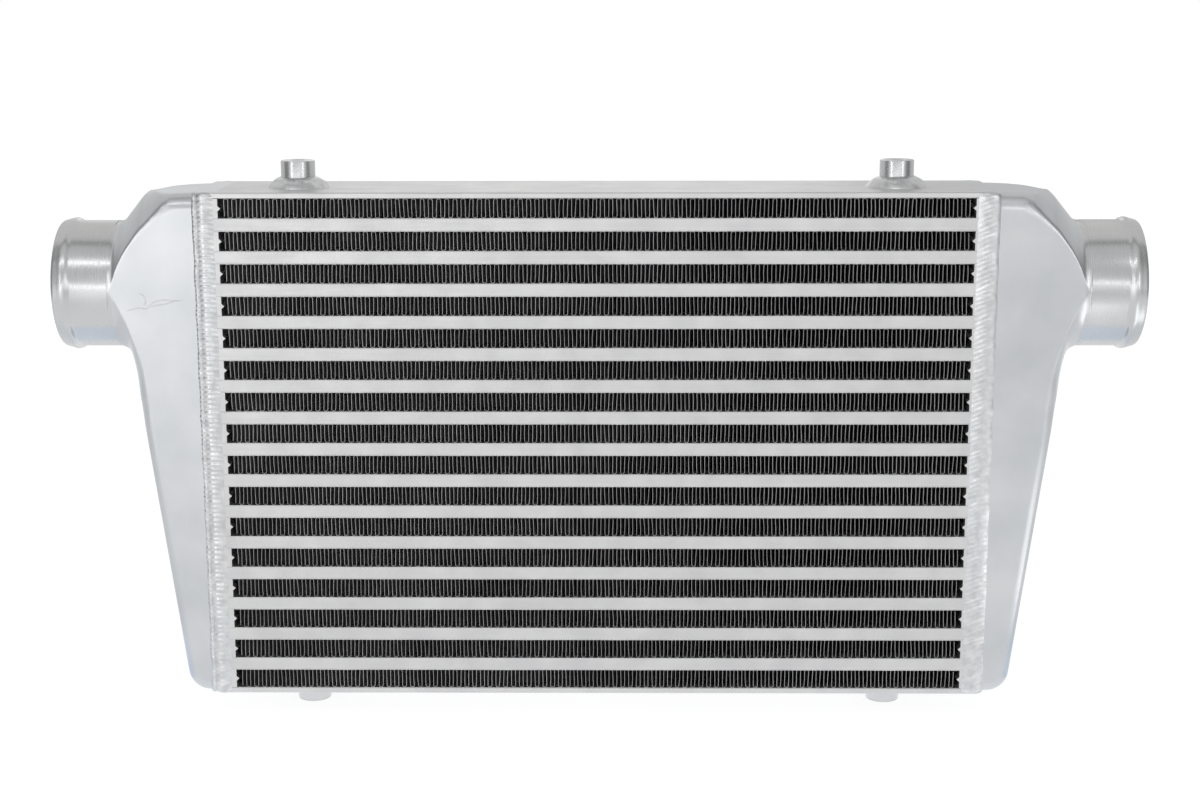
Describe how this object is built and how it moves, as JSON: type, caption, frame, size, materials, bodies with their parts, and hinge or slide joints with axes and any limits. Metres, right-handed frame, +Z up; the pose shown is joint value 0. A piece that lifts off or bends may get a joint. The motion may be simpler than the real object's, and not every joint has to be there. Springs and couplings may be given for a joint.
{
  "type": "intercooler",
  "caption": "Front-mount bar-and-plate intercooler with cast end tanks, a beaded hose spigot on each side and threaded bosses above and below.",
  "frame": {"origin": "centre of the core and of the whole cooler's box", "axes": "+X from the left tank to the right one, +Y from the front face to the back, +Z up as the cooler is fitted, with the spigots in the upper half"},
  "size_m": [0.647, 0.0798, 0.3384],
  "materials": {
    "bar_aluminium": "satin mill finish, furnace brazed",
    "fin_aluminium": "thin folded sheet, dull grey",
    "inner_fin_aluminium": "thin folded sheet, dull",
    "cast_aluminium": "fine-grained casting, turned satin on the spigot",
    "weld_aluminium": "rippled weld bead, bright",
    "turned_aluminium": "turned, satin"
  },
  "bodies": {
    "root": {"air_fin_01": "fin_aluminium", "air_fin_02": "fin_aluminium", "air_fin_03": "fin_aluminium", "air_fin_04": "fin_aluminium", "air_fin_05": "fin_aluminium", "air_fin_06": "fin_aluminium", "air_fin_07": "fin_aluminium", "air_fin_08": "fin_aluminium", "air_fin_09": "fin_aluminium", "air_fin_10": "fin_aluminium", "air_fin_11": "fin_aluminium", "air_fin_12": "fin_aluminium", "air_fin_13": "fin_aluminium", "air_fin_14": "fin_aluminium", "air_fin_15": "fin_aluminium", "air_fin_16": "fin_aluminium", "boss_welds_bottom": "weld_aluminium", "boss_welds_top": "weld_aluminium", "bosses_bottom": "turned_aluminium", "bosses_top": "turned_aluminium", "charge_tube_01": "bar_aluminium", "charge_tube_02": "bar_aluminium", "charge_tube_03": "bar_aluminium", "charge_tube_04": "bar_aluminium", "charge_tube_05": "bar_aluminium", "charge_tube_06": "bar_aluminium", "charge_tube_07": "bar_aluminium", "charge_tube_08": "bar_aluminium", "charge_tube_09": "bar_aluminium", "charge_tube_10": "bar_aluminium", "charge_tube_11": "bar_aluminium", "charge_tube_12": "bar_aluminium", "charge_tube_13": "bar_aluminium", "charge_tube_14": "bar_aluminium", "charge_tube_15": "bar_aluminium", "header_bars_left": "bar_aluminium", "header_bars_right": "bar_aluminium", "side_plate_bottom": "bar_aluminium", "side_plate_top": "bar_aluminium", "tank_left": "cast_aluminium", "tank_right": "cast_aluminium", "turbulator_01": "inner_fin_aluminium", "turbulator_02": "inner_fin_aluminium", "turbulator_03": "inner_fin_aluminium", "turbulator_04": "inner_fin_aluminium", "turbulator_05": "inner_fin_aluminium", "turbulator_06": "inner_fin_aluminium", "turbulator_07": "inner_fin_aluminium", "turbulator_08": "inner_fin_aluminium", "turbulator_09": "inner_fin_aluminium", "turbulator_10": "inner_fin_aluminium", "turbulator_11": "inner_fin_aluminium", "turbulator_12": "inner_fin_aluminium", "turbulator_13": "inner_fin_aluminium", "turbulator_14": "inner_fin_aluminium", "turbulator_15": "inner_fin_aluminium", "weld_left": "weld_aluminium", "weld_right": "weld_aluminium"}
  },
  "joints": []
}
